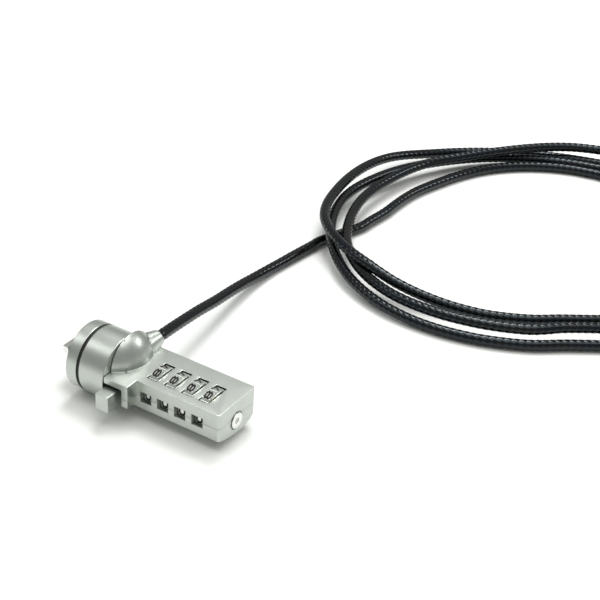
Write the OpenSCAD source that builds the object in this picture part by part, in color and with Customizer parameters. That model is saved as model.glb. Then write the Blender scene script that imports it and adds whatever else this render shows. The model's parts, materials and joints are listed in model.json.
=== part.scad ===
// Combination cable lock for a notebook computer.
// A cylindrical head carries a T-shaped bar that twists in the computer's security slot, a flat
// body behind it carries four number wheels, and a coated steel cable leaves the head's back.
// X runs along the head's axis towards the tail of the body, Y towards the cable, Z up.
// Millimetres. The origin is under the middle of the lock, on the surface it lies on.

/* [Head] */
// Radius of the round head
head_r = 11.25; // [10.5:0.05:11.5]
// Thickness of the front disc
disc_t = 4.1; // [3.5:0.1:5]
// Width of the black ring between disc and sleeve
ring_t = 1.1; // [0.8:0.1:1.4]
// Length of the turning sleeve that shows
sleeve_len = 9.65; // [9:0.05:9.65]

/* [T-bar] */
// Length of the T across its head
tee_len = 6.4; // [5.5:0.1:6.6]
// Thickness of the T's head across the slot
tee_w = 2.6; // [2:0.1:2.8]
// Radius of the T-bar's shaft
shaft_r = 1.4; // [1.2:0.05:1.45]

/* [Body] */
// End of the body, from the front of the sleeve
tail_x = 50.3; // [50.3:0.1:53]
// Near face of the body, from the head's axis
near_y = -6.2; // [-6.4:0.1:-6.1]
// Far face of the body, from the head's axis
far_y = 13.2; // [13.2:0.1:14]
// Top of the body above the head's axis
top_z = 2.75; // [2.7:0.05:3]

/* [Wheels] */
// Number wheels, distance from one to the next
wheel_pitch = 6.53; // [6.5:0.01:6.6]
// Wheel's outer flats, distance from its axis
wheel_flat = 6.55; // [6.3:0.05:6.55]
// Width of a number wheel
wheel_w = 3.3; // [3:0.1:3.3]

/* [Cable] */
// Radius of the coated cable
cable_r = 2; // [1.8:0.1:2]

/* [Hidden] */

// A small overlap that keeps joined shapes one solid
joint = 0.2;
// Gap of a running fit, and gap between parts that pass each other
run_gap = 0.05;
pass_gap = 0.3;

// Front disc, nose and guide pins
disc_x = -ring_t - disc_t;
nose_r = 4.6;
nose_x = disc_x - 2.8;
guide_x = nose_x - 2.5;
guide_off = 2.5;
guide_r = 0.85;
tee_x = nose_x - 2.9;
tee_t = 2.3;
tip_x = tee_x - tee_t;

// Fixed tube that ties the disc to the body through the sleeve
tube_r = 3.2;
tube_end = 15;
collar_x = 13.9;
collar_t = 0.7;
collar_r = 3.8;

// Turning sleeve and its lever
hub_r = 5;
hub_end = 13.3;
cup_r = 9.7;
cup_deep = 6.6;
lever_x = [10.3, 15.2];
lever_z = [-6.1, -0.3];
lever_tip = 15.6;
swing_r = 6;
slot_r = 16.6;
pin_x = 4.2;
pin_r = 0.7;
turn_deg = 90;

// Upper and lower shells
split_z = -2.6;
front_x = 9.8;
web_x = 13.6;
wall_x = 16.7;
step_x = 19.1;
ledge_y = -10.9;
ledge_low = -5.4;
roof_z = 0.6;
bottom_z = -9.1;
bottom_r = 32;
bottom_y = 5;
far_round = 4;
tail_round = 1.2;
dome_r = 11;
dome_at = [5, 2.5, 2];
boss_x = 11.5;
boss_z = 4.7;
boss_y = 14.8;
boss_from = [8.5, 3, 2];
boss_to = [11.5, 15.3, 4.8];
boss_r = [6.6, 2.5];
boss_free_y = 11.6;
stop_y = [6.7, 12];
stop_r = 1.3;

// Wheels and what they turn on
wheel_y = 1.9;
wheel_z = split_z;
wheel_x1 = 22.4;
wheel_out = wheel_flat / cos(18);
room_r = 7.2;
room_side = 0.23;
window_z = [-4.55, -0.9];
window_x = [-1.95, 2.2];
ring_r = 3.6;
flange_r = 4.4;
flange_t = 1.5;
notch_deep = 1.25;
notch_half = 1.1;
spindle_r = 1.7;
spindle_from = 18.6;
spindle_to = 46;

// Gate bar that drops into the code rings as the sleeve turns
gate_move = 1.2;
gate_y = [10.2, 11.4];
gate_z = [-3.9, -1.3];
gate_to = 46.4;
finger_x = wheel_w / 2 + 0.3;
finger_w = 1;
// the fingers stop clear of the code rings at any number, even with the gate bar in
finger_clear = 0.1;
finger_y = wheel_y + flange_r + gate_move + finger_clear;
finger_half = 0.8;
gate_spring_x = 45.7;
gate_spring_y = 7.7;
gate_spring_r = 0.6;
dog_y = 8.8;
dog_r = 0.8;
dog_gap = 0.25;
dog_deep = 1.4;
dog_plate_x = 19.5;
dog_plate_y = dog_y - 1.2;

// Leaf spring that clicks the code rings at each number
leaf_y = [9.5, 9.8];
leaf_z = [-0.7, 1.3];
leaf_tip_y = 5.6;
leaf_x = wheel_w / 2 + 0.4;
leaf_w = 0.8;
leaf_t = 0.25;

// Reset pin in the tail
reset_y = 3.2;
reset_z = -4.2;
reset_r = 2.7;
reset_proud = 0.35;
reset_hole_r = 0.95;
reset_back = 48.1;
reset_seat = 48.9;
reset_collar_r = 3.3;
reset_spring_x = 46.3;
reset_recess = 0.8;

// Case screws: places of their axes, thread and head
screws = [[18.6, -3.9], [18.2, 5.2], [48, 10.2], [48, -3.6]];
screw_r = 0.8;
screw_top = 0.1;
screw_head_r = 1.45;
screw_head_t = 1.1;
screw_sunk = 0.4;

// The lock's middle and the height of its axis above the surface
mid_x = (tip_x + tail_x + reset_proud) / 2;
lift = head_r;

// Route of the free cable, in the lock's final place: out of the boss, down, along the surface
run_points = [[-7.2, 12, 15.95], [-7.2, 15.2, 15.95], [-7.7, 19.5, 15.35], [-8.6, 26, 14.2],
    [-9.8, 34, 12.6], [-11, 43, 10.8], [-12.2, 53, 8.6], [-13.6, 63, 6.6], [-14.6, 72, 4.9],
    [-15.2, 80, 3.4], [-15.2, 89, 2.4], [-14.6, 97, 2], [-13.8, 104, 2], [-12.9, 111, 2],
    [-12, 117, 2], [-11.4, 122, 2]];
run_steps = 3;
run_sides = 8;

// Coil of the free cable, and the loop at its end that lies inside the coil
coil_at = [60, 180];
coil_in = 60;
coil_out = 94;
coil_high = 12;
ferrule_from = [112, 192];
ferrule_to = [107, 179];
ferrule_r = 4.4;
loop_r = 12;

// Moves what is drawn about the head's axis to the lock's final place
module place() {
    translate([-mid_x, 0, lift]) children();
}

module along_x(x0, x1, r, y = 0, z = 0, fn = 64) {
    translate([x0, y, z]) rotate([0, 90, 0]) cylinder(h = x1 - x0, r = r, $fn = fn);
}

module along_y(y0, y1, r, x = 0, z = 0) {
    translate([x, y0, z]) rotate([-90, 0, 0]) cylinder(h = y1 - y0, r = r, $fn = 64);
}

module box(x, y, z) {
    translate([x[0], y[0], z[0]]) cube([x[1] - x[0], y[1] - y[0], z[1] - z[0]]);
}

// Ring about an axis along X
module ring_x(x0, x1, r_out, r_in, y = 0, z = 0) {
    difference() {
        along_x(x0, x1, r_out, y, z);
        along_x(x0 - 1, x1 + 1, r_in, y, z);
    }
}

// Middle of number wheel i, counted from 0
function wheel_at(i) = wheel_x1 + wheel_pitch * i;

// ---- Shells ----

// Middle of the far lower edge's rounding, and the underside's height at y
far_round_z = bottom_z + 0.7 + far_round;
function arc_low(y, mid_y, mid_z, r) = mid_z - sqrt(r * r - (y - mid_y) * (y - mid_y));
function underside(y) = let (low = arc_low(y, bottom_y, bottom_z + bottom_r, bottom_r))
    y > far_y - far_round ? max(low, arc_low(y, far_y - far_round, far_round_z, far_round)) : low;

// The flat body from x0 to x1: its underside bulges and its far lower edge is round
module body_bar(x0, x1) {
    difference() {
        intersection() {
            box([x0, x1], [near_y, far_y], [bottom_z - 1, top_z]);
            along_x(x0 - 1, x1 + 1, bottom_r, bottom_y, bottom_z + bottom_r, 160);
        }
        difference() {
            box([x0 - 1, x1 + 1], [far_y - far_round, far_y + 2], [bottom_z - 2, far_round_z]);
            along_x(x0 - 2, x1 + 2, far_round + run_gap, far_y - far_round, far_round_z);
        }
        tail_corner(near_y, 1);
        tail_corner(far_y, -1);
    }
}

// What the rounding of an upright tail edge at y takes off; side is the way to the middle
module tail_corner(y, side) {
    mid = [tail_x - tail_round, y + side * tail_round];
    difference() {
        box([mid[0], tail_x + 1], side > 0 ? [y - 1, mid[1]] : [mid[1], y + 1], [-20, 20]);
        translate([mid[0], mid[1], -21]) cylinder(h = 42, r = tail_round + run_gap, $fn = 48);
    }
}

// Everything outside the shells, before the hollows are cut and the halves are parted
module shell_outside() {
    body_bar(front_x, tail_x);
    box([front_x, wall_x + joint], [ledge_y, near_y + joint], [roof_z, top_z]);
    box([wall_x, step_x], [ledge_y, near_y + joint], [ledge_low, top_z]);
    intersection() {
        translate(dome_at) sphere(r = dome_r, $fn = 96);
        box([front_x, 20], [-12, far_y], [split_z, 14]);
    }
    intersection() {
        along_x(web_x, wall_x + joint, swing_r - pass_gap);
        box([web_x - 1, wall_x + 1], [-20, 20], [-20, top_z - joint]);
    }
}

// The cable's tapered boss: it grows out of the dome and is kept clear of the turning sleeve
module boss() {
    way = boss_to - boss_from;
    difference() {
        translate(boss_from) rotate([0, acos(way[2] / norm(way)), atan2(way[1], way[0])])
            cylinder(h = norm(way), r1 = boss_r[0], r2 = boss_r[1], $fn = 64);
        box([-20, front_x], [-20, boss_free_y], [-20, 20]);
        box([-20, 40], [-20, 20], [-20, roof_z]);
        box([-20, 40], [boss_y, 20], [-20, 20]);
    }
}

// Room in which the sleeve's hub and lever turn
module lever_room() {
    along_x(front_x - 1, web_x, hub_r + pass_gap);
    difference() {
        intersection() {
            along_x(front_x - 1, wall_x, slot_r + 2);
            box([front_x - 2, wall_x], [-20, 6.6], [-20, roof_z]);
        }
        along_x(web_x, wall_x + 1, swing_r - pass_gap);
        box([front_x - 3, wall_x + 1], [0, 8], [split_z, 1]);
    }
}

// Bore of the head's tube, with a pocket for its collar
module tube_room() {
    along_x(web_x - 1, tube_end + run_gap, tube_r);
    along_x(collar_x - run_gap, collar_x + collar_t + run_gap, collar_r);
}

// Rooms of the wheels, their code rings and the bearings at both ends of the spindle
module wheel_rooms() {
    for (i = [0:3]) {
        x = wheel_at(i);
        side = wheel_w / 2 + room_side;
        along_x(x - side, x + side, room_r, wheel_y, wheel_z);
        box([x + window_x[0], x + window_x[1]], [near_y - 1, wheel_y], window_z);
    }
    along_x(wheel_at(0) - wheel_w / 2, wheel_at(3) + wheel_w / 2 + flange_t + 0.6,
        flange_r + pass_gap, wheel_y, wheel_z);
    along_x(spindle_from, spindle_to, spindle_r, wheel_y, wheel_z);
}

// Room of the gate bar, its fingers, its dog and its spring
module gate_room() {
    slack = 0.2;
    z = [gate_z[0] - slack, gate_z[1] + slack];
    box([wall_x + slack, gate_to + pass_gap],
        [gate_y[0] - gate_move - pass_gap, gate_y[1] + slack], z);
    box([wall_x + slack, dog_plate_x + pass_gap],
        [dog_plate_y - gate_move - pass_gap, gate_y[1] + slack], z);
    for (i = [0:3]) {
        x = wheel_at(i) + finger_x;
        box([x - slack, x + finger_w + slack], [wheel_y + flange_r - 1, gate_y[0]], z);
    }
    box([front_x - 1, wall_x + 1], [dog_y - gate_move - dog_r - slack, dog_y + dog_r + slack],
        [split_z - dog_r - slack, split_z + dog_r + slack]);
    along_y(gate_spring_y, gate_y[0], gate_spring_r + 0.1, gate_spring_x, split_z);
}

// Slots that hold the leaf spring's strip and leave its fingers free
module leaf_room() {
    x_end = wheel_at(3) + leaf_x + leaf_w;
    box([wheel_at(0), x_end], leaf_y, [gate_z[1], leaf_z[1]]);
    for (i = [0:3]) {
        x = wheel_at(i) + leaf_x;
        box([x - 0.1, x + leaf_w + 0.1], [leaf_tip_y, leaf_y[1]], [gate_z[1], leaf_t + 0.4]);
    }
}

// Bore of the reset pin: a recess at the tail, then the bore, then its collar's room
module reset_room() {
    along_x(reset_spring_x, reset_seat, reset_collar_r + 0.1, reset_y, reset_z);
    along_x(reset_seat - joint, tail_x + 1, reset_r + run_gap, reset_y, reset_z);
    along_x(tail_x - reset_recess, tail_x + 1, reset_r + 0.45, reset_y, reset_z);
}

// Pocket of the crimped stop and the hole of the cable
module cable_room() {
    along_y(stop_y[0], stop_y[1], stop_r, boss_x, boss_z);
    along_y(stop_y[1] - run_gap, boss_y + 1, cable_r + 0.1, boss_x, boss_z);
}

// Height at which the head of the screw at p ends and its thread starts
function head_top(p) = underside(p[1]) + screw_sunk + screw_head_t;

module along_z(p, z0, z1, r) {
    translate([p[0], p[1], z0]) cylinder(h = z1 - z0, r = r, $fn = 32);
}

// Holes of the case screws through the lower shell, with sunk heads
module screw_holes() {
    for (p = screws) {
        along_z(p, bottom_z - 1, split_z + 1, screw_r + 0.15);
        along_z(p, bottom_z - 1, head_top(p), screw_head_r + 0.15);
    }
}

module shell_rooms() {
    lever_room();
    tube_room();
    wheel_rooms();
    gate_room();
    leaf_room();
    reset_room();
    cable_room();
}

module upper_shell() {
    color("silver") place() difference() {
        union() {
            intersection() {
                shell_outside();
                box([front_x, tail_x + 1], [-20, 20], [split_z, 20]);
            }
            boss();
        }
        shell_rooms();
        for (p = screws) along_z(p, split_z - 1, screw_top + 0.4, screw_r);
        // the tube is laid in from below
        box([web_x - 1, tube_end + run_gap], [-tube_r, tube_r], [split_z - 1, 0]);
        box([collar_x - run_gap, collar_x + collar_t + run_gap], [-collar_r, collar_r],
            [split_z - 1, 0]);
    }
}

module lower_shell() {
    color("silver") place() difference() {
        intersection() {
            shell_outside();
            box([front_x, tail_x + 1], [-20, 20], [-20, split_z]);
        }
        shell_rooms();
        screw_holes();
    }
}

// ---- Head ----

module head_disc() {
    color("silver") place() difference() {
        union() {
            along_x(disc_x, disc_x + disc_t, head_r, fn = 96);
            along_x(nose_x, disc_x + joint, nose_r);
            along_x(-ring_t - joint, tube_end, tube_r);
            along_x(collar_x, collar_x + collar_t, collar_r);
        }
        along_x(nose_x - 1, tube_end + 1, shaft_r + run_gap);
        for (side = [0, 180]) rotate([side, 0, 0]) pin_slot();
    }
}

// Slot in the tube that lets one half of the drive pin turn with the sleeve
module pin_slot() {
    gap = 0.1;
    reach = tube_r + 2;
    half = pin_r + gap;
    for (a = [0, turn_deg]) rotate([a, 0, 0])
        box([pin_x - half, pin_x + half], [-half, half], [0, reach]);
    wedge = [for (a = [90:10:90 + turn_deg]) [-reach * sin(a), reach * cos(a)]];
    translate([pin_x - half, 0, 0]) rotate([0, 90, 0])
        linear_extrude(height = 2 * half) polygon(concat([[0, 0]], wedge));
}

module guide_pins() {
    color("gainsboro") place()
        for (side = [-1, 1]) along_x(guide_x, nose_x, guide_r, side * guide_off, 0, 32);
}

module groove_ring() {
    color("black") place() ring_x(-ring_t, -run_gap, head_r - 0.55, 7);
}

module wave_washer() {
    color("gray") place() ring_x(-ring_t, -run_gap, 4.7, tube_r + 0.05);
}

// ---- What the lever turns ----

// Track in the sleeve's back that moves the gate bar's dog inwards as the sleeve turns
function dog_track(a, out) =
    let (y = dog_y - gate_move * a / turn_deg, r = norm([y, split_z]) + out,
         b = atan2(split_z, y) - a)
    [r * cos(b), r * sin(b)];

module dog_room() {
    w = dog_r + dog_gap;
    ends = [for (a = [0:10:turn_deg]) dog_track(a, w)];
    back = [for (a = [turn_deg:-10:0]) dog_track(a, -w)];
    translate([sleeve_len - dog_deep, 0, 0]) rotate([90, 0, 90])
        linear_extrude(height = dog_deep + 1) union() {
            polygon(concat(ends, back));
            translate(dog_track(0, 0)) circle(r = w, $fn = 32);
            translate(dog_track(turn_deg, 0)) circle(r = w, $fn = 32);
        }
}

module turn_sleeve() {
    color("silver") place() difference() {
        union() {
            along_x(0, sleeve_len, head_r, fn = 96);
            along_x(sleeve_len - joint, hub_end, hub_r);
            difference() {
                box(lever_x, [-lever_tip, -3], lever_z);
                along_x(hub_end, lever_x[1] + 1, swing_r);
            }
        }
        difference() {
            along_x(-1, cup_deep, cup_r);
            along_x(-2, cup_deep + 1, hub_r);
        }
        along_x(-2, hub_end + 1, tube_r + run_gap);
        translate([pin_x, 0, -7]) cylinder(h = 14, r = pin_r, $fn = 32);
        dog_room();
    }
}

module t_bar() {
    color("gainsboro") place() difference() {
        union() {
            along_x(tee_x - joint, tube_end - 0.4, shaft_r);
            box([tip_x, tee_x], [-tee_len / 2, tee_len / 2], [-tee_w / 2, tee_w / 2]);
        }
        translate([pin_x, 0, -7]) cylinder(h = 14, r = pin_r, $fn = 32);
    }
}

module drive_pin() {
    color("gainsboro") place()
        translate([pin_x, 0, -hub_r + 0.3]) cylinder(h = 2 * hub_r - 0.6, r = pin_r, $fn = 32);
}

// ---- Wheels ----

module spindle() {
    color("gainsboro") place() along_x(spindle_from, spindle_to, spindle_r, wheel_y, wheel_z);
}

// A ten-sided wheel, one flat for each number
module number_wheel(i) {
    x = wheel_at(i);
    color("silver") place() difference() {
        translate([x - wheel_w / 2, wheel_y, wheel_z]) rotate([0, 90, 0])
            cylinder(h = wheel_w, r = wheel_out, $fn = 10);
        along_x(x - wheel_w, x + wheel_w, ring_r + run_gap, wheel_y, wheel_z);
    }
}

// A ring that turns with its wheel: its notch takes a finger of the gate bar
module code_ring(i) {
    x = wheel_at(i);
    end = x + wheel_w / 2;
    color("goldenrod") place() difference() {
        union() {
            along_x(x - wheel_w / 2, end + joint, ring_r, wheel_y, wheel_z);
            along_x(end + run_gap, end + flange_t, flange_r, wheel_y, wheel_z);
        }
        along_x(x - wheel_w, end + 3, spindle_r + run_gap, wheel_y, wheel_z);
        box([end + run_gap, end + 3], [wheel_y + flange_r - notch_deep, wheel_y + 8],
            [wheel_z - notch_half, wheel_z + notch_half]);
    }
}

module number_wheel_1() number_wheel(0);
module number_wheel_2() number_wheel(1);
module number_wheel_3() number_wheel(2);
module number_wheel_4() number_wheel(3);
module code_ring_1() code_ring(0);
module code_ring_2() code_ring(1);
module code_ring_3() code_ring(2);
module code_ring_4() code_ring(3);

// Leaf spring: a strip along the wheels, with one finger that rides on each code ring
module detent_spring() {
    color("gray") place() union() {
        box([wheel_at(0) + 1, wheel_at(3) + leaf_x + leaf_w], leaf_y, leaf_z);
        for (i = [0:3]) {
            x = wheel_at(i) + leaf_x;
            box([x, x + leaf_w], [leaf_tip_y, leaf_y[0] + joint], [0, leaf_t]);
        }
    }
}

// ---- Gate ----

module gate_bar() {
    color("goldenrod") place() union() {
        box([wall_x + 0.5, gate_to], gate_y, gate_z);
        box([wall_x + 0.5, dog_plate_x], [dog_plate_y, gate_y[0] + joint], gate_z);
        along_x(sleeve_len - dog_deep + pass_gap, wall_x + 1, dog_r, dog_y, split_z, 32);
        for (i = [0:3]) {
            x = wheel_at(i) + finger_x;
            box([x, x + finger_w], [finger_y, gate_y[0] + joint],
                [split_z - finger_half, split_z + finger_half]);
        }
    }
}

// Coil spring that pushes the gate bar out of the code rings, drawn as its envelope
module gate_spring() {
    color("gray") place() difference() {
        along_y(gate_spring_y, gate_y[0], gate_spring_r, gate_spring_x, split_z);
        along_y(gate_spring_y - 1, gate_y[0] + 1, gate_spring_r / 2, gate_spring_x, split_z);
    }
}

// ---- Reset ----

module reset_pin() {
    color("gainsboro") place() difference() {
        union() {
            along_x(reset_back, tail_x + reset_proud, reset_r, reset_y, reset_z);
            along_x(reset_back, reset_seat - run_gap, reset_collar_r, reset_y, reset_z);
        }
        along_x(tail_x - 1.2, tail_x + 1, reset_hole_r, reset_y, reset_z);
    }
}

// Coil spring behind the reset pin, drawn as its envelope
module reset_spring() {
    color("gray") place() ring_x(reset_spring_x, reset_back, 2.2, 1.6, reset_y, reset_z);
}

// ---- Fasteners and cable ----

module case_screws() {
    color("gray") place() for (p = screws) {
        along_z(p, head_top(p) - joint, screw_top, screw_r);
        along_z(p, head_top(p) - screw_head_t, head_top(p), screw_head_r);
    }
}

module cable_stop() {
    color("gainsboro") place() along_y(stop_y[0], stop_y[1], stop_r, boss_x, boss_z);
}

// Point of a smooth curve through p[i] and p[i + 1]
function curve_point(p, i, t) =
    let (a = p[max(i - 1, 0)], b = p[i], c = p[i + 1], d = p[min(i + 2, len(p) - 1)])
    0.5 * (2 * b + (c - a) * t + (2 * a - 5 * b + 4 * c - d) * t * t
        + (3 * b - a - 3 * c + d) * t * t * t);

function curve(p, steps) = concat(
    [for (i = [0:len(p) - 2], k = [0:steps - 1]) curve_point(p, i, k / steps)],
    [p[len(p) - 1]]);

function unit(v) = v / norm(v);

// A closed tube along the points of a path that never points straight up
module tube(path, r, sides) {
    n = len(path);
    rings = [for (i = [0:n - 1])
        let (t = unit(path[min(i + 1, n - 1)] - path[max(i - 1, 0)]),
             s = unit(cross(t, [0, 0, 1])), u = cross(s, t))
        for (k = [0:sides - 1]) path[i] + r * (cos(360 * k / sides) * s + sin(360 * k / sides) * u)];
    walls = [for (i = [0:n - 2], k = [0:sides - 1])
        let (a = i * sides + k, b = i * sides + (k + 1) % sides)
        [a, b, b + sides, a + sides]];
    start = [[for (k = [sides - 1:-1:0]) k]];
    finish = [[for (k = [0:sides - 1]) (n - 1) * sides + k]];
    polyhedron(points = rings, faces = concat(walls, start, finish));
}

module cable_run() {
    color("black") tube(curve(run_points, run_steps), cable_r, run_sides);
}

module cable_coil() {
    color("black") translate([coil_at[0], coil_at[1], 0]) rotate_extrude($fn = 96)
        translate([coil_in, 0]) square([coil_out - coil_in, coil_high]);
}

module end_ferrule() {
    d = ferrule_to - ferrule_from;
    color("gainsboro") translate([ferrule_from[0], ferrule_from[1], ferrule_r])
        rotate([0, 90, atan2(d[1], d[0])]) cylinder(h = norm(d), r = ferrule_r, $fn = 48);
}

module end_loop() {
    d = unit(ferrule_to - ferrule_from);
    c = ferrule_to + d * (loop_r + cable_r);
    color("black") translate([c[0], c[1], cable_r]) rotate_extrude($fn = 64)
        translate([loop_r, 0]) circle(r = cable_r, $fn = 24);
}

upper_shell();
lower_shell();
head_disc();
guide_pins();
groove_ring();
wave_washer();
turn_sleeve();
t_bar();
drive_pin();
spindle();
number_wheel_1();
number_wheel_2();
number_wheel_3();
number_wheel_4();
code_ring_1();
code_ring_2();
code_ring_3();
code_ring_4();
detent_spring();
gate_bar();
gate_spring();
reset_pin();
reset_spring();
cable_stop();
case_screws();
cable_run();
cable_coil();
end_ferrule();
end_loop();
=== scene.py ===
# Looks of the notebook lock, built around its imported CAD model.
# The scene is in metres. Sizes of the lock and its cable are written in millimetres, unless a
# comment says otherwise, and mm() or MM turns them into metres.
import json
import math

import bmesh
import bpy
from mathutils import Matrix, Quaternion, Vector


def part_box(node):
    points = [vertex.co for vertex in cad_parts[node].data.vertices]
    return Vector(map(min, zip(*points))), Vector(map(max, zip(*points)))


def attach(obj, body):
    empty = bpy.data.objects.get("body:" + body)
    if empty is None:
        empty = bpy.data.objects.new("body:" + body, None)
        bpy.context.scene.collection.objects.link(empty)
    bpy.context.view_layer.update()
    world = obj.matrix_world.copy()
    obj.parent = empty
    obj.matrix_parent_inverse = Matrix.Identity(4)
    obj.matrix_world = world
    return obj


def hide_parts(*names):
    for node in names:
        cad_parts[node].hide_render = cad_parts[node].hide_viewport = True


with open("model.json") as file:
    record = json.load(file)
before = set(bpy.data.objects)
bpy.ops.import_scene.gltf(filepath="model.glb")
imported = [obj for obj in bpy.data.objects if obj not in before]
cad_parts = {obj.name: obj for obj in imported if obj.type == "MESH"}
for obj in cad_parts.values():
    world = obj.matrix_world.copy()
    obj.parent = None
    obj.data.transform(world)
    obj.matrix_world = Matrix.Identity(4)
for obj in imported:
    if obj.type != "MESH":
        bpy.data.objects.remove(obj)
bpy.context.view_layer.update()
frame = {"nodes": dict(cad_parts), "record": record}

MM = 0.001


def mm(*values):
    """A length, or a point, from millimetres."""
    return values[0] * MM if len(values) == 1 else Vector(values) * MM


# ---- Camera ----

CAMERA_AT = mm(231.1, -296.9, 274.7)
CAMERA_AIM = mm(3.5, 83.6, 0)
CAMERA_ROLL = math.radians(3.46)
CAMERA_LENS = 87.6


def make_camera():
    data = bpy.data.cameras.new("camera")
    data.lens = CAMERA_LENS
    data.sensor_width = 36
    data.clip_start = 0.01
    data.clip_end = 20
    camera = bpy.data.objects.new("camera", data)
    turn = (CAMERA_AIM - CAMERA_AT).to_track_quat("-Z", "Y")
    camera.rotation_mode = "QUATERNION"
    camera.rotation_quaternion = turn @ Quaternion((0, 0, 1), CAMERA_ROLL)
    camera.location = CAMERA_AT
    bpy.context.scene.collection.objects.link(camera)
    bpy.context.scene.camera = camera


make_camera()

# ---- Route of the cable ----

CABLE_R = 2.0
RUN = [(-7.2, 12, 15.95), (-7.2, 15.2, 15.95), (-7.7, 19.5, 15.35), (-8.6, 26, 14.2),
       (-9.8, 34, 12.6), (-11, 43, 10.8), (-12.2, 53, 8.6), (-13.6, 63, 6.6), (-14.6, 72, 4.9),
       (-15.2, 80, 3.4), (-15.2, 89, 2.4), (-14.6, 97, 2), (-13.8, 104, 2), (-12.9, 111, 2),
       (-12, 117, 2), (-11.4, 122, 2)]
COIL_AT = (60, 180)
# The coil's turns, clockwise from above: degrees about COIL_AT, radius, height of its middle line
COIL = [(212, 77, 2), (200, 67.4, 2), (178, 61.8, 2), (161, 60, 2), (130, 61.5, 2), (100, 62.5, 2),
        (40, 61, 2), (-20, 60, 2), (-58, 59, 2), (-74, 63, 2), (-89, 69, 2.6), (-101, 75, 4.4),
        (-112, 81, 7), (-120, 85, 9.4), (-130, 89, 10.3), (-141, 91, 10.4), (-149, 90, 10.3),
        (-157, 87.6, 10), (-166, 85.8, 9.2), (-176, 84.8, 8), (-190, 84, 5.5), (-205, 80, 3),
        (-222, 76, 2.1), (-240, 73, 2), (-260, 73, 2), (-320, 78, 2), (-380, 78, 2),
        (-417, 75.2, 2), (-433, 79.7, 2), (-447, 84.4, 2), (-459, 88, 2.2), (-470, 90.4, 3),
        (-482, 91.2, 4.2), (-494, 90, 5.7), (-502, 88.6, 6.2), (-520, 84, 6.4), (-537, 77, 6),
        (-555, 72, 4.6), (-572, 69.5, 3.4), (-596, 68, 2.4), (-620, 68, 2.1), (-680, 71, 2.6),
        (-740, 71, 4.6), (-778, 70.5, 6.1), (-793, 76, 6.1), (-807, 80.5, 6.1), (-819, 84, 6.1),
        (-830, 86.3, 6.1), (-842, 86.5, 6.2), (-854, 84.6, 6.4), (-866, 81, 6.5),
        (-880, 77, 6.5), (-897, 72.5, 6.2), (-915, 69.5, 6.2), (-930, 66, 6.6),
        (-945, 66, 7.2), (-956, 68, 7.5), (-967, 71.5, 7.5), (-979, 75, 7.2),
        (-1000, 76.5, 7.6), (-1020, 76, 8), (-1040, 69, 7.8), (-1054, 62, 6.6)]
COIL_STEP = 5
FERRULE = ((112, 192), (107, 179))
FERRULE_R = 4.4
LOOP_R = 12
LEAD_IN = 5


def between(a, b, c, d, t):
    """A smooth value from b to c, with a before and d after them."""
    return 0.5 * (2 * b + (c - a) * t + (2 * a - 5 * b + 4 * c - d) * t * t
                  + (3 * b - a - 3 * c + d) * t ** 3)


def smooth(points, steps):
    """A smooth curve through points, with steps(i) stretches after point i."""
    out = []
    for i in range(len(points) - 1):
        four = [points[max(0, min(len(points) - 1, i + k))] for k in (-1, 0, 1, 2)]
        count = steps(i)
        for k in range(count):
            out.append(Vector([between(*axis, k / count) for axis in zip(*four)]))
    out.append(Vector(points[-1]))
    return out


def coil_point(knot):
    turn = math.radians(knot[0])
    return (COIL_AT[0] + knot[1] * math.cos(turn), COIL_AT[1] + knot[1] * math.sin(turn), knot[2])


def cable_route():
    """The cable's middle line, from inside the boss to inside the ferrule."""
    knots = smooth(COIL, lambda i: max(1, round((COIL[i][0] - COIL[i + 1][0]) / COIL_STEP)))
    start, end = (Vector((*p, FERRULE_R)) for p in FERRULE)
    lead = [start + (start - end).normalized() * LEAD_IN, start, start + (end - start) * 0.5]
    points = RUN + [coil_point(k) for k in knots] + [tuple(p) for p in lead]
    return [p * MM for p in smooth(points, lambda i: 3)]


def even(path, step):
    """The same path, as points a step apart."""
    out, left = [path[0]], step
    for a, b in zip(path, path[1:]):
        size = (b - a).length
        at = 0
        while size - at > left:
            at += left
            left = step
            out.append(a.lerp(b, at / size))
        left -= size - at
    out.append(path[-1])
    return out


# ---- Materials ----

# The part of a noise pattern's values that a look is spread over
NOISE_LOW, NOISE_HIGH = 0.3, 0.7


def material(name, color, metallic, roughness, build=None, **sockets):
    """A procedural material; build(nodes, links, shader) adds its detail."""
    made = bpy.data.materials.new(name)
    made.use_nodes = True
    nodes, links = made.node_tree.nodes, made.node_tree.links
    shader = nodes["Principled BSDF"]
    shader.inputs["Base Color"].default_value = (*color, 1)
    shader.inputs["Metallic"].default_value = metallic
    shader.inputs["Roughness"].default_value = roughness
    for socket, value in sockets.items():
        shader.inputs[socket.replace("_", " ")].default_value = value
    if build:
        build(nodes, links, shader)
    return made


def noise(nodes, links, scale, detail=3):
    """A noise pattern in the object's own space; scale is in features a metre."""
    place = nodes.new("ShaderNodeTexCoord")
    texture = nodes.new("ShaderNodeTexNoise")
    texture.inputs["Scale"].default_value = scale
    texture.inputs["Detail"].default_value = detail
    links.new(place.outputs["Object"], texture.inputs["Vector"])
    return texture.outputs["Fac"]


def spread(nodes, links, value, low, high):
    """A noise value, mapped to the range low to high."""
    step = nodes.new("ShaderNodeMapRange")
    ranges = {"From Min": NOISE_LOW, "From Max": NOISE_HIGH, "To Min": low, "To Max": high}
    for socket, number in ranges.items():
        step.inputs[socket].default_value = number
    links.new(value, step.inputs["Value"])
    return step.outputs["Result"]


def ramp(nodes, links, value, low, high):
    """A colour between low and high, by value."""
    mix = nodes.new("ShaderNodeValToRGB")
    mix.color_ramp.elements[0].color = (*low, 1)
    mix.color_ramp.elements[1].color = (*high, 1)
    mix.color_ramp.elements[0].position = NOISE_LOW
    mix.color_ramp.elements[1].position = NOISE_HIGH
    links.new(value, mix.inputs["Fac"])
    return mix.outputs["Color"]


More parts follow.
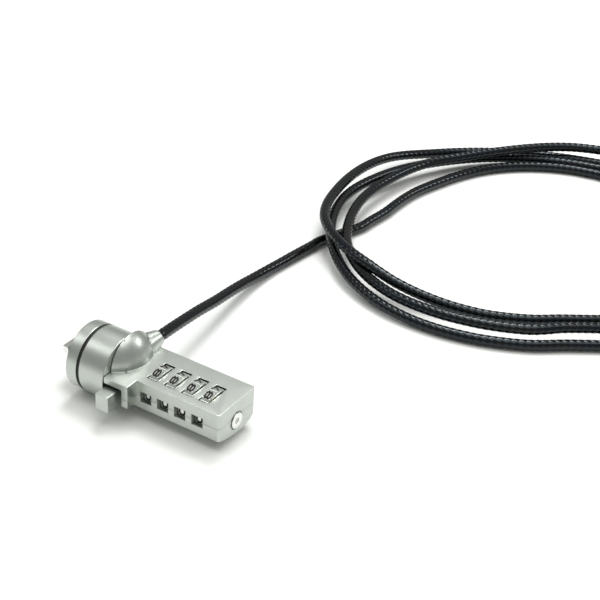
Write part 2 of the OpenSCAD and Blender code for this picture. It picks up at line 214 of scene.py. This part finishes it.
def bump(nodes, links, value, shader, height):
    """A surface relief of that height, in metres."""
    node = nodes.new("ShaderNodeBump")
    node.inputs["Distance"].default_value = height
    links.new(value, node.inputs["Height"])
    links.new(node.outputs["Normal"], shader.inputs["Normal"])


def cast_grain(low, high, smooth_to, rough_to, grain=0.000012):
    """Plated casting: a soft cloud in the colour, and a fine blasted grain."""
    def build(nodes, links, shader):
        cloud = noise(nodes, links, 260, 4)
        links.new(ramp(nodes, links, cloud, low, high), shader.inputs["Base Color"])
        fine = noise(nodes, links, 5200, 2)
        links.new(spread(nodes, links, fine, smooth_to, rough_to), shader.inputs["Roughness"])
        bump(nodes, links, fine, shader, grain)
    return build


def turned_grain(nodes, links, shader):
    """Uneven polish of a turned part."""
    links.new(spread(nodes, links, noise(nodes, links, 2400, 2), 0.12, 0.26),
              shader.inputs["Roughness"])


def jacket_tint_and_painted_sheen(nodes, links, shader):
    """Glossy vinyl over wires: uneven gloss, and a colour cloud from a painted bluish sheen to a
    brown tint where it is thin.
    """
    cloud = noise(nodes, links, 90, 3)
    # The bluish low end of this colour ramp is painted sheen; the brown high end is the vinyl's
    # own tint.
    links.new(ramp(nodes, links, cloud, (0.0006, 0.0012, 0.004), (0.004, 0.0028, 0.001)),
              shader.inputs["Base Color"])
    fine = noise(nodes, links, 1500, 3)
    links.new(spread(nodes, links, fine, 0.1, 0.22), shader.inputs["Roughness"])


ZINC = material("satin_zinc", (0.52, 0.55, 0.515), 1.0, 0.36,
                cast_grain((0.5, 0.53, 0.495), (0.535, 0.565, 0.53), 0.3, 0.4))
WHEEL = material("wheel_zinc", (0.74, 0.76, 0.73), 1.0, 0.26,
                 cast_grain((0.72, 0.74, 0.71), (0.8, 0.82, 0.79), 0.2, 0.32))
STEEL = material("bright_steel", (0.8, 0.8, 0.78), 1.0, 0.2, turned_grain)
SPRING = material("spring_steel", (0.42, 0.42, 0.42), 1.0, 0.35,
                  cast_grain((0.38, 0.38, 0.38), (0.46, 0.46, 0.45), 0.3, 0.42))
BRASS = material("brass", (0.72, 0.52, 0.22), 1.0, 0.3,
                 cast_grain((0.68, 0.48, 0.2), (0.76, 0.56, 0.26), 0.24, 0.36))
SCREW = material("black_steel", (0.02, 0.02, 0.02), 0.8, 0.4,
                 cast_grain((0.015, 0.015, 0.016), (0.03, 0.03, 0.03), 0.3, 0.5))
BLACK = material("black_plastic", (0.01, 0.01, 0.01), 0.0, 0.5,
                 cast_grain((0.006, 0.007, 0.006), (0.014, 0.014, 0.013), 0.4, 0.6))
# The jacket's pale blue Specular Tint colours its highlights blue: painted bluish sheen.
JACKET = material("cable_jacket", (0.008, 0.008, 0.01), 0.0, 0.2, jacket_tint_and_painted_sheen,
                  Specular_IOR_Level=0.4, Specular_Tint=(0.8, 0.92, 1.0, 1))
SLOT_LOOK = {"satin_zinc": ZINC, "bright_steel": STEEL, "spring_steel": SPRING, "brass": BRASS,
             "black_steel": SCREW, "black_plastic": BLACK, "cable_jacket": JACKET}


def paint(piece, look):
    piece.data.materials.clear()
    piece.data.materials.append(look)


def dress_cad_nodes():
    """Every CAD node gets the look of its slot."""
    for part in frame["record"]["subparts"]:
        node = frame["nodes"][part["node"]]
        for place in node.material_slots:
            place.material = SLOT_LOOK[part["material_slot"]]


dress_cad_nodes()

# ---- Mesh pieces ----


def mesh_piece(name, points, faces, look, smooth_faces=True):
    mesh = bpy.data.meshes.new(name)
    mesh.from_pydata([tuple(p) for p in points], [], faces)
    mesh.validate()
    mesh.polygons.foreach_set("use_smooth", [smooth_faces] * len(mesh.polygons))
    piece = bpy.data.objects.new(name, mesh)
    bpy.context.scene.collection.objects.link(piece)
    paint(piece, look)
    return piece


def frames_along(path):
    """For each point of the path: its direction and two sides that don't spin about it."""
    out = []
    side = None
    for i, p in enumerate(path):
        ahead = (path[min(i + 1, len(path) - 1)] - path[max(i - 1, 0)]).normalized()
        if side is None:
            side = ahead.orthogonal().normalized()
        side = (side - ahead * side.dot(ahead)).normalized()
        out.append((p, side, ahead.cross(side)))
    return out


# Strands under the jacket: their number, and in metres the length of one full wind and the depth
# of the groove between two
STRANDS = 6
LAY = 0.015
GROOVE = 0.00013
RING_POINTS = 24
RINGS_A_LAY = 12
LATHE_POINTS = 64


def twisted_cable(name, path, radius):
    """A cable whose strands show through its jacket: a lobed section that winds as it goes."""
    points = even(path, LAY / RINGS_A_LAY)
    verts, faces = [], []
    for i, (p, u, v) in enumerate(frames_along(points)):
        spin = 2 * math.pi * i / RINGS_A_LAY
        for k in range(RING_POINTS):
            a = 2 * math.pi * k / RING_POINTS
            r = radius - GROOVE * (1 - math.cos(STRANDS * a)) / 2
            verts.append(p + (u * math.cos(a + spin) + v * math.sin(a + spin)) * r)
    for i in range(len(points) - 1):
        for k in range(RING_POINTS):
            a, b = i * RING_POINTS + k, i * RING_POINTS + (k + 1) % RING_POINTS
            faces.append((a, b, b + RING_POINTS, a + RING_POINTS))
    last = (len(points) - 1) * RING_POINTS
    faces.append(tuple(range(RING_POINTS - 1, -1, -1)))
    faces.append(tuple(range(last, last + RING_POINTS)))
    return mesh_piece(name, verts, faces, JACKET)


def lathe(name, profile, look):
    """A solid turned about +X: profile is (x, radius) pairs from end to end."""
    count = LATHE_POINTS
    verts, faces = [], []
    for x, r in profile:
        for k in range(count):
            a = 2 * math.pi * k / count
            verts.append((x, r * math.cos(a), r * math.sin(a)))
    for i in range(len(profile) - 1):
        for k in range(count):
            a, b = i * count + k, i * count + (k + 1) % count
            faces.append((a, a + count, b + count, b))
    faces.append(tuple(range(count)))
    last = (len(profile) - 1) * count
    faces.append(tuple(range(last + count - 1, last - 1, -1)))
    return mesh_piece(name, verts, faces, look)


# ---- Cable, ferrule and loop ----

# Middle of the ferrule's first groove, and the step to the next, as parts of its length
FIRST_CRIMP = 0.28
CRIMP_STEP = 0.22


def make_ferrule():
    """A crimped sleeve with rounded ends and three pressed grooves."""
    size = (Vector(FERRULE[1]) - Vector(FERRULE[0])).length
    edge, groove, deep = 0.5, 0.7, 0.35
    profile = [(0, FERRULE_R - edge), (edge * 0.3, FERRULE_R - edge * 0.3), (edge, FERRULE_R)]
    for k in range(3):
        mid = size * (FIRST_CRIMP + CRIMP_STEP * k)
        profile += [(mid - groove, FERRULE_R), (mid - groove / 2, FERRULE_R - deep),
                    (mid + groove / 2, FERRULE_R - deep), (mid + groove, FERRULE_R)]
    profile += [(size - edge, FERRULE_R), (size - edge * 0.3, FERRULE_R - edge * 0.3),
                (size, FERRULE_R - edge)]
    piece = lathe("ferrule", [(x * MM, r * MM) for x, r in profile], STEEL)
    way = Vector(FERRULE[1]) - Vector(FERRULE[0])
    piece.location = mm(*FERRULE[0], FERRULE_R)
    piece.rotation_euler = (0, 0, math.atan2(way.y, way.x))
    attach(piece, "root")
    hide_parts("end_ferrule")
    return piece


def make_loop():
    """The end loop: the cable leaves the ferrule, goes round the eye and comes back."""
    way = (Vector(FERRULE[1]) - Vector(FERRULE[0])).normalized()
    side = Vector((-way.y, way.x))
    start, middle = Vector(FERRULE[1]), LOOP_R + CABLE_R
    # Each point is a distance along the ferrule's line, one across it, and a height
    half = [(-3, 2.02, FERRULE_R), (0.5, 2.02, FERRULE_R), (3.4, 4.6, 3.2)]
    arc = [(middle - LOOP_R * math.cos(math.radians(a)), LOOP_R * math.sin(math.radians(a)), 2)
           for a in range(50, 311, 20)]
    back = [(x, -y, z) for x, y, z in reversed(half)]
    local = half + arc + back
    points = [Vector((*(start + way * x + side * y), z)) for x, y, z in local]
    path = [p * MM for p in smooth(points, lambda i: 6)]
    piece = twisted_cable("end_loop_cable", path, CABLE_R * MM)
    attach(piece, "root")
    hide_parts("end_loop")
    return piece


def make_cable():
    route = cable_route()
    ferrule, loop = make_ferrule(), make_loop()
    piece = twisted_cable("cable", route, CABLE_R * MM)
    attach(piece, "root")
    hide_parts("cable_run", "cable_coil")
    even(route, 0.003)


# In metres
make_cable()

# ---- Castings: the CAD shapes with their sharp edges broken ----

# Edges that turn more than SHARP are rounded, and faces that turn less than FLAT are joined.
# Points closer than WELD are one point.
SHARP = math.radians(28)
FLAT = math.radians(0.6)
WELD = mm(0.004)
# Inside of the body, in millimetres along X, Y and Z: edges in there stay as they are
INSIDE = ((-8.6, 31.2), (-5.9, 12.9), (4, 13.7))


def on_outside(point):
    """Whether a point, in millimetres, is outside the INSIDE box."""
    return not all(low < at < high for at, (low, high) in zip(point, INSIDE))


def softened(node, body, width, look=ZINC, keep=lambda mid: True):
    """The node's own shape, with the edges that keep() names rounded to that width."""
    cad = frame["nodes"][node]
    mesh = cad.data.copy()
    piece = bpy.data.objects.new(node + "_soft", mesh)
    bpy.context.scene.collection.objects.link(piece)
    form = bmesh.new()
    form.from_mesh(mesh)
    bmesh.ops.remove_doubles(form, verts=form.verts, dist=WELD)
    bmesh.ops.dissolve_limit(form, angle_limit=FLAT, verts=form.verts, edges=form.edges)
    sharp = [e for e in form.edges if len(e.link_faces) == 2 and e.calc_face_angle(0) > SHARP
             and keep((e.verts[0].co + e.verts[1].co) / 2 / MM)]
    bmesh.ops.bevel(form, geom=sharp, offset=mm(width), offset_type="OFFSET", segments=2,
                    profile=0.5, affect="EDGES", clamp_overlap=False, miter_outer="ARC")
    bmesh.ops.triangulate(form, faces=[f for f in form.faces if len(f.verts) > 4])
    form.to_mesh(mesh)
    form.free()
    paint(piece, look)
    mesh.polygons.foreach_set("use_smooth", [True] * len(mesh.polygons))
    mesh.set_sharp_from_angle(angle=SHARP)
    even_light = piece.modifiers.new("flat_faces_stay_flat", "WEIGHTED_NORMAL")
    even_light.keep_sharp = True
    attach(piece, body)
    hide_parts(node)


softened("upper_shell", "root", 0.22, keep=on_outside)
softened("lower_shell", "root", 0.2, keep=on_outside)
softened("head_disc", "root", 0.25)
softened("turn_sleeve", "turn", 0.25)
softened("t_bar", "turn", 0.3, STEEL)
softened("reset_pin", "reset", 0.15, STEEL)

# ---- Number wheels ----

WHEEL_COUNT = 4
TILES = 10
TILE_TURN = 360 / TILES
# Distances from the wheel's axis, then the size of a tile's broken edge, and half sizes
WHEEL_BORE = 3.65
TILE_FLAT = 6.55
TILE_ROOT = 5.75
TILE_EDGE = 0.28
TILE_HALF = 1.8
WHEEL_HALF = 1.65
WHEEL_WELD = 0.002
# Degrees that the first tile is turned by, and the number on it
FIRST_TILE = 18
FIRST_DIGIT = 8
# Half size of a number, half width of its strokes, and how far they stand out of their tile and
# reach into it; their tops are STROKE_CROWN as wide as their feet
DIGIT_HALF = (1.22, 0.92)
STROKE_R = 0.33
STROKE_PROUD = 0.05
STROKE_FOOT = 0.05
STROKE_CROWN = 0.8
END_POINTS = 7
# Corners of each number's strokes, as parts of its half size
STROKES = {
    0: [(-1, -.5), (-1, .5), (-.6, 1), (.6, 1), (1, .5), (1, -.5), (.6, -1), (-.6, -1), (-1, -.5)],
    1: [(-.5, .5), (0, 1), (0, -1)],
    2: [(-1, .5), (-.6, 1), (.6, 1), (1, .5), (1, .2), (-1, -1), (1, -1)],
    3: [(-1, 1), (1, 1), (0, .1), (.6, .1), (1, -.3), (1, -.6), (.6, -1), (-.6, -1), (-1, -.6)],
    4: [(.5, -1), (.5, 1), (-1, -.4), (1, -.4)],
    5: [(1, 1), (-1, 1), (-1, .1), (.6, .1), (1, -.2), (1, -.6), (.6, -1), (-1, -1)],
    6: [(1, .7), (.6, 1), (-.6, 1), (-1, .6), (-1, -.6), (-.6, -1), (.6, -1), (1, -.6),
        (1, -.2), (.6, .1), (-1, .1)],
    7: [(-1, 1), (1, 1), (-.2, -1)],
    8: [(-.6, 0), (-1, .4), (-1, .6), (-.6, 1), (.6, 1), (1, .6), (1, .4), (.6, 0), (1, -.4),
        (1, -.6), (.6, -1), (-.6, -1), (-1, -.6), (-1, -.4), (-.6, 0), (.6, 0)],
    9: [(-1, -.7), (-.6, -1), (.6, -1), (1, -.6), (1, .6), (.6, 1), (-.6, 1), (-1, .6),
        (-1, .2), (-.6, -.1), (1, -.1)],
}


def tile_frame(degrees):
    """The way a tile faces, and its number's right and up."""
    a = math.radians(degrees)
    out = Vector((0, -math.sin(a), math.cos(a)))
    right = Vector((0, math.cos(a), math.sin(a)))
    return out, right, Vector((-1, 0, 0))


def wheel_mesh(name, center):
    """A hub with ten raised tiles, each with broken edges."""
    verts, faces = [], []
    half_turn = math.radians(TILE_TURN / 2)
    side = TILE_ROOT * math.tan(half_turn)
    for k in range(TILES):
        out, right, up = tile_frame(FIRST_TILE + TILE_TURN * k)
        levels = [(TILE_ROOT, side, WHEEL_HALF), (TILE_ROOT, TILE_HALF, WHEEL_HALF),
                  (TILE_FLAT - TILE_EDGE, TILE_HALF, WHEEL_HALF),
                  (TILE_FLAT, TILE_HALF - TILE_EDGE, WHEEL_HALF - TILE_EDGE)]
        first = len(verts)
        for height, half, long in levels:
            for sx, sy in ((-1, -1), (1, -1), (1, 1), (-1, 1)):
                verts.append(center + (out * height + right * sx * half + up * sy * long) * MM)
        for ring in range(len(levels) - 1):
            for c in range(4):
                a, b = first + 4 * ring + c, first + 4 * ring + (c + 1) % 4
                faces.append((a, b, b + 4, a + 4))
        top = first + 4 * (len(levels) - 1)
        faces.append(tuple(top + c for c in range(4)))
        # Side walls of the hub, down to the bore
        for sy, turn in ((-1, False), (1, True)):
            low = len(verts)
            for sx in (-1, 1):
                spin = half_turn * sx
                way = out * math.cos(spin) + right * math.sin(spin)
                verts.append(center + (way * WHEEL_BORE + up * sy * WHEEL_HALF) * MM)
            outer = (first, first + 1) if sy < 0 else (first + 3, first + 2)
            face = (outer[0], low, low + 1, outer[1])
            faces.append(face if turn else face[::-1])
        low = len(verts) - 4
        faces.append((low, low + 1, low + 3, low + 2))
    piece = mesh_piece(name, verts, faces, WHEEL, False)
    form = bmesh.new()
    form.from_mesh(piece.data)
    bmesh.ops.remove_doubles(form, verts=form.verts, dist=mm(WHEEL_WELD))
    bmesh.ops.recalc_face_normals(form, faces=form.faces)
    form.to_mesh(piece.data)
    form.free()
    return piece


def digit_mesh(center, degrees, digit, verts, faces):
    """Adds a number's strokes to verts and faces, as flat beads on its tile."""
    out, right, up = tile_frame(degrees)
    line = [Vector((x * DIGIT_HALF[0], y * DIGIT_HALF[1])) for x, y in STROKES[digit]]
    for a, b in zip(line, line[1:]):
        way = (b - a).normalized()
        side = Vector((-way.y, way.x))
        rim = []
        for end, flip in ((b, 1), (a, -1)):
            for step in range(END_POINTS):
                t = math.radians(-90 + 180 * step / (END_POINTS - 1))
                rim.append(end + (way * math.cos(t) + side * math.sin(t)) * STROKE_R * flip)
        first = len(verts)
        for height, grow in ((-STROKE_FOOT, 1.0), (STROKE_PROUD * 0.5, 1.0),
                             (STROKE_PROUD, STROKE_CROWN)):
            for p in rim:
                near = a + (b - a) * max(0, min(1, (p - a).dot(b - a) / (b - a).length_squared))
                q = near + (p - near) * grow
                verts.append(center + (out * (TILE_FLAT + height) + right * q.x + up * q.y) * MM)
        n = len(rim)
        for ring in range(2):
            for c in range(n):
                s, e = first + ring * n + c, first + ring * n + (c + 1) % n
                faces.append((s, e, e + n, s + n))
        faces.append(tuple(range(first + 2 * n, first + 3 * n)))
        faces.append(tuple(range(first + n - 1, first - 1, -1)))


def make_wheel(k):
    """Number wheel k, and the numbers on its tiles."""
    low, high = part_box(f"number_wheel_{k}")
    center = (low + high) / 2
    wheel = wheel_mesh(f"wheel_{k}_tiles", center)
    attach(wheel, f"wheel_{k}")
    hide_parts(f"number_wheel_{k}")
    verts, faces = [], []
    for i in range(TILES):
        digit = (FIRST_DIGIT + i) % TILES
        digit_mesh(center, FIRST_TILE + TILE_TURN * i, digit, verts, faces)
    digits = mesh_piece(f"wheel_{k}_numbers", verts, faces, BLACK, False)
    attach(digits, f"wheel_{k}")


for wheel_number in range(1, WHEEL_COUNT + 1):
    make_wheel(wheel_number)

# ---- Floor, light and world ----

# In metres
FLOOR_SIZE = 4.0
FLOOR_DROP = 0.0002


def make_floor():
    half = FLOOR_SIZE / 2
    floor = mesh_piece("floor", [(-half, -half, 0), (half, -half, 0), (half, half, 0),
                                 (-half, half, 0)], [(0, 1, 2, 3)],
                       material("floor_white", (0.93, 0.935, 0.92), 0.0, 0.6), False)
    floor.location.z = -FLOOR_DROP


def area_light(name, at, aim, size, power, color=(1, 1, 1)):
    """A soft box at a place, turned to aim; places and size are metres, power is watts."""
    data = bpy.data.lights.new(name, "AREA")
    data.shape = "RECTANGLE"
    data.size, data.size_y = size
    data.energy = power
    data.color = color
    light = bpy.data.objects.new(name, data)
    light.location = at
    light.rotation_mode = "QUATERNION"
    light.rotation_quaternion = (Vector(aim) - Vector(at)).to_track_quat("-Z", "Y")
    bpy.context.scene.collection.objects.link(light)


def make_world():
    world = bpy.data.worlds.new("world")
    bpy.context.scene.world = world
    world.use_nodes = True
    sky = world.node_tree.nodes["Background"]
    sky.inputs["Color"].default_value = (0.97, 1.0, 0.96, 1)
    sky.inputs["Strength"].default_value = 0.4


make_floor()
make_world()
area_light("key", (-0.15, 0.5, 1.0), (0.05, 0.08, 0), (0.4, 0.4), 5.2)
area_light("top", (0.1, 0.1, 1.3), (0.05, 0.1, 0), (1.2, 1.2), 9, (1, 1, 0.985))
area_light("back", (0.55, 0.75, 0.55), (0.08, 0.1, 0), (0.3, 0.2), 1.6)
area_light("fill", (-0.5, -0.2, 0.6), (0.0, 0.05, 0), (0.3, 0.3), 0.6)
bpy.context.scene.view_settings.view_transform = "Standard"
